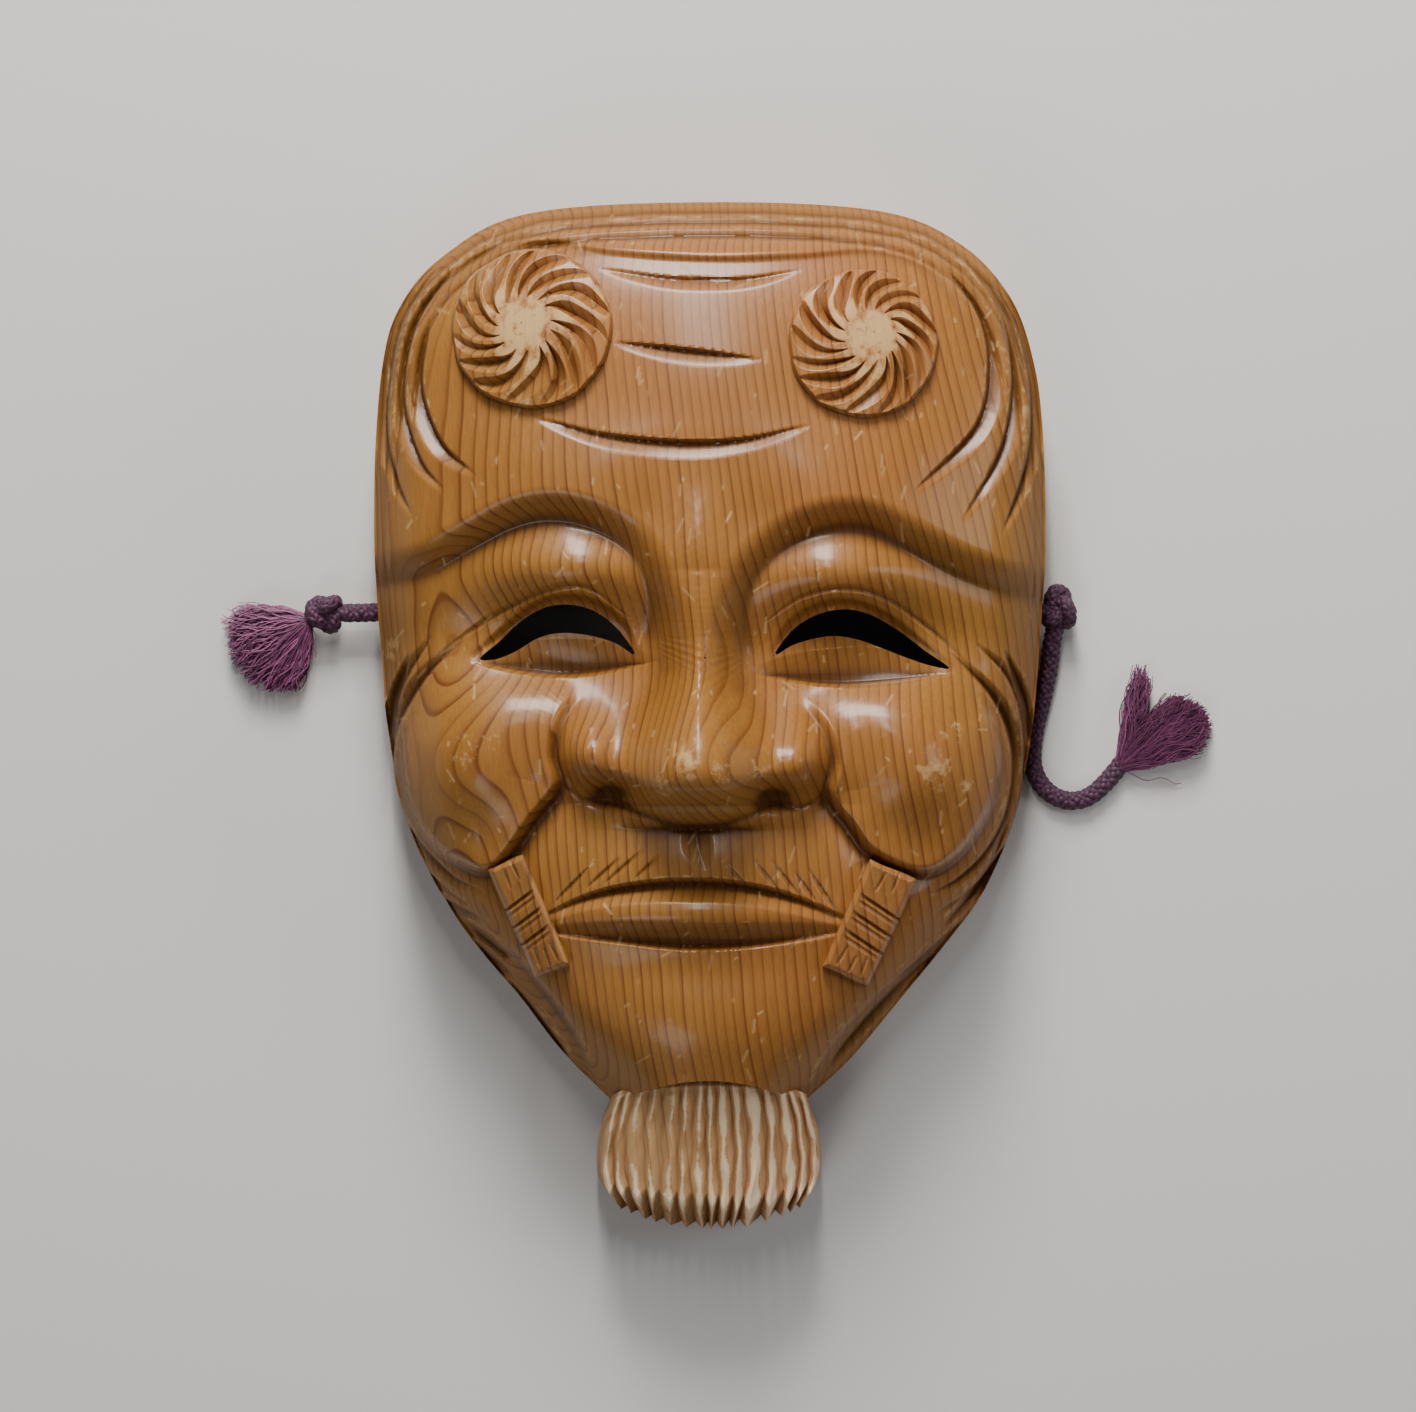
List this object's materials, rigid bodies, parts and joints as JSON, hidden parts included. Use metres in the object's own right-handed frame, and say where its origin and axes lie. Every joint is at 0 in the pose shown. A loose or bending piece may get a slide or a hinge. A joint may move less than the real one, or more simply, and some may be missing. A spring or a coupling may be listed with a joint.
{
  "type": "noh mask",
  "caption": "carved wooden noh mask of a smiling old man, hollow behind, with crescent eyes, brow rosettes, tied jaw corners, a fluted beard and a braided hanging cord",
  "frame": {"origin": "middle of the mask's footprint on the surface that its back rim rests on", "axes": "+X to the right of a person who faces the mask, +Y toward the crown, +Z out of the face"},
  "size_m": [0.2067, 0.214, 0.0666],
  "materials": {
    "varnished_wood": "glossy amber varnish over strong straight grain, worn pale on high spots",
    "worn_wood": "bare, dry and worn, pale along the ridges",
    "cord": "tightly braided dark purple cord",
    "tassel": "loose frayed purple threads"
  },
  "bodies": {
    "mask": {"mask_body": "varnished_wood", "brow_rosette_left": "varnished_wood", "brow_rosette_right": "varnished_wood", "tie_block_left": "varnished_wood", "tie_block_right": "varnished_wood", "beard": "worn_wood", "knot_left": "cord", "knot_right": "cord"},
    "loop": {"hanging_cord": "cord"},
    "right_end": {"cord_tail": "cord", "tassel_right": "tassel"},
    "left_end": {"tassel_left": "tassel"}
  },
  "joints": [
    {"name": "loop_swing", "type": "hinge", "parent": "mask", "child": "loop", "pos_m": [0, 0.0218, 0.006], "axis": [-1, 0, 0], "range_deg": [0, 168]},
    {"name": "right_end_swing", "type": "hinge", "parent": "mask", "child": "right_end", "pos_m": [0.0736, 0.0218, 0.006], "axis": [0, 0, 1], "range_deg": [0, 90]},
    {"name": "left_end_swing", "type": "hinge", "parent": "mask", "child": "left_end", "pos_m": [-0.081, 0.0218, 0.006], "axis": [0, 0, 1], "range_deg": [-35, 35]}
  ]
}
